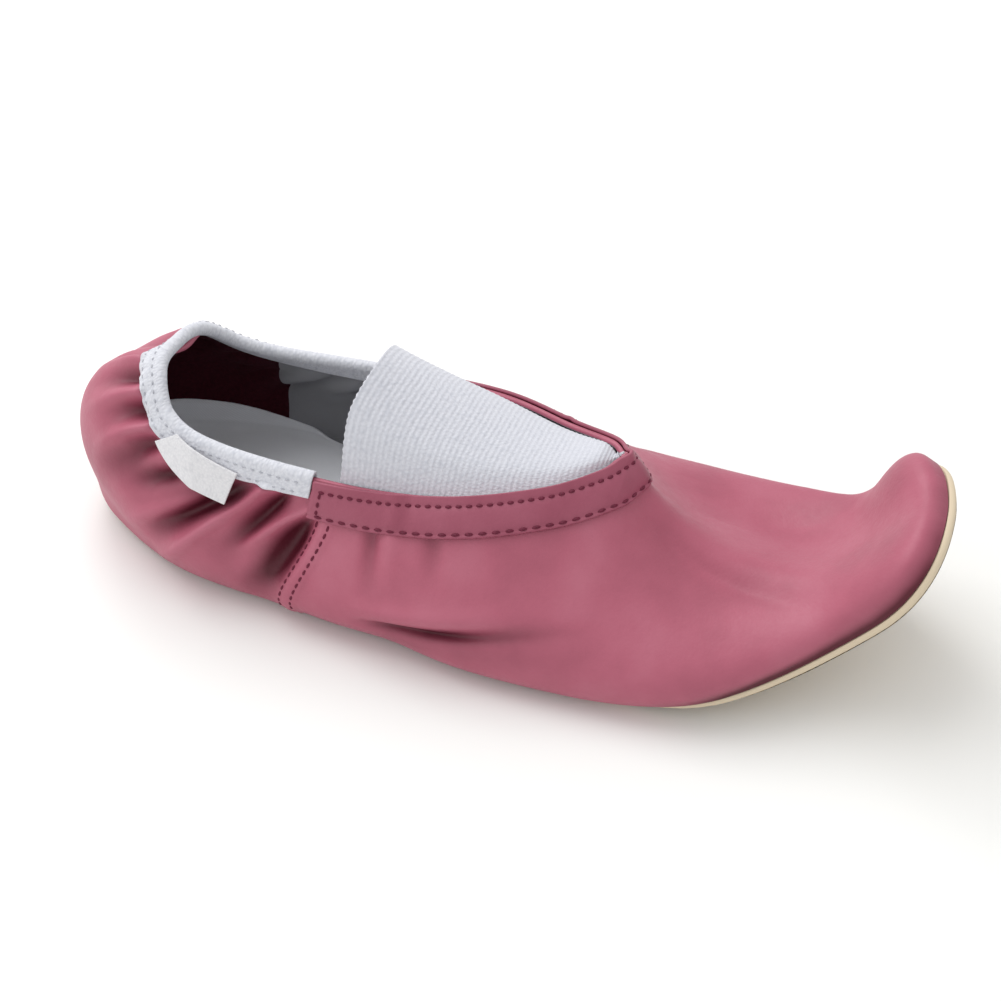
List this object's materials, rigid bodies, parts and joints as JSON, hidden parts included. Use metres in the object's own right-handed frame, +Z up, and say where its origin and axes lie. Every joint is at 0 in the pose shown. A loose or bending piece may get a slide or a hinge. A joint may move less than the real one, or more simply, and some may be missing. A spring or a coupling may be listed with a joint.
{
  "type": "gymnastics shoe",
  "caption": "Right gymnastics slipper: soft hollow leather upper on a thin curled rubber sole, with an elastic collar and an elastic gore over the instep.",
  "frame": {"origin": "on the floor, under the middle of the shoe's bounding box", "axes": "+X to the toe, +Y to the inner side of the right foot, +Z up"},
  "size_m": [0.2114, 0.0852, 0.0547],
  "materials": {
    "dimpled_rubber": "matt beige rubber with a fine dimpled tread",
    "textile_sock": "pale grey woven sock",
    "soft_leather": "soft rose leather, half matt, gathered at the heel",
    "facing_leather": "soft rose leather strip, stitched",
    "woven_elastic": "white ribbed elastic",
    "elastic_tape": "white elastic tape, folded over",
    "bare_tape": "white woven tape, bare"
  },
  "bodies": {
    "root": {"outsole": "dimpled_rubber", "insole": "textile_sock", "upper": "soft_leather", "throat_facing": "facing_leather", "instep_elastic": "woven_elastic", "collar_binding": "elastic_tape", "side_tab": "bare_tape"}
  },
  "joints": []
}
